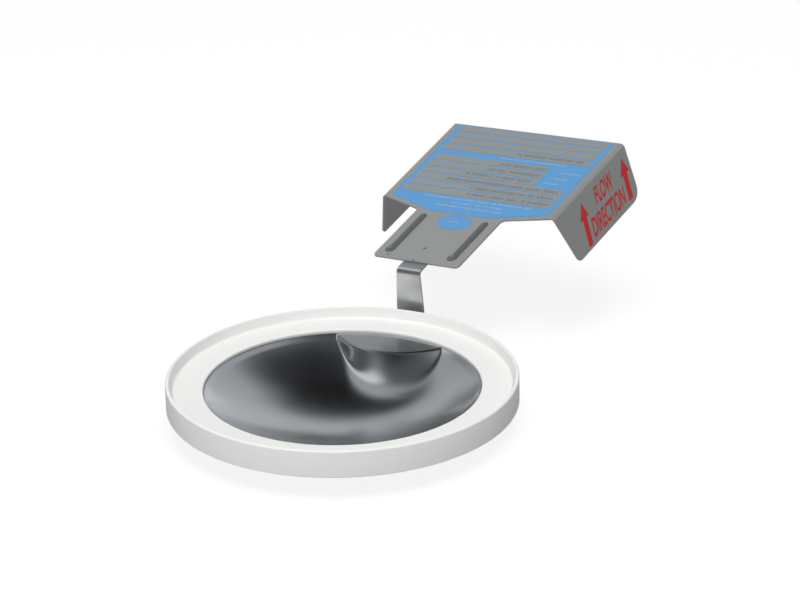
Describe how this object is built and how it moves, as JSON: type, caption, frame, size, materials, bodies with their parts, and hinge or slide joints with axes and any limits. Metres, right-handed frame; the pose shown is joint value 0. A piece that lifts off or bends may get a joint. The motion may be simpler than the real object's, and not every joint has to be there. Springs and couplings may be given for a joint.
{
  "type": "rupture disc",
  "caption": "Reverse-acting rupture disc in a moulded gasket for a clamped hygienic joint, with a folded flow tag on a strap",
  "frame": {"origin": "centre of the circle on the underside of the gasket's lower lip, on the disc's axis", "axes": "+Z is the way the flow leaves, out of the hollow side of the disc; +Y points to the flow tag; +X is across the tag, to the right seen from in front with the tag behind"},
  "size_m": [0.0967, 0.1701, 0.0467],
  "materials": {
    "white_gasket": "white moulded fluoropolymer, satin",
    "bright_foil": "bright annealed nickel alloy foil",
    "strap_steel": "bright rolled stainless strip",
    "tag_steel": "satin stainless sheet with a printed flow label"
  },
  "bodies": {
    "root": {"gasket_ring": "white_gasket", "rupture_disc": "bright_foil", "tag_strap": "strap_steel", "tag_plate": "tag_steel"}
  },
  "joints": []
}
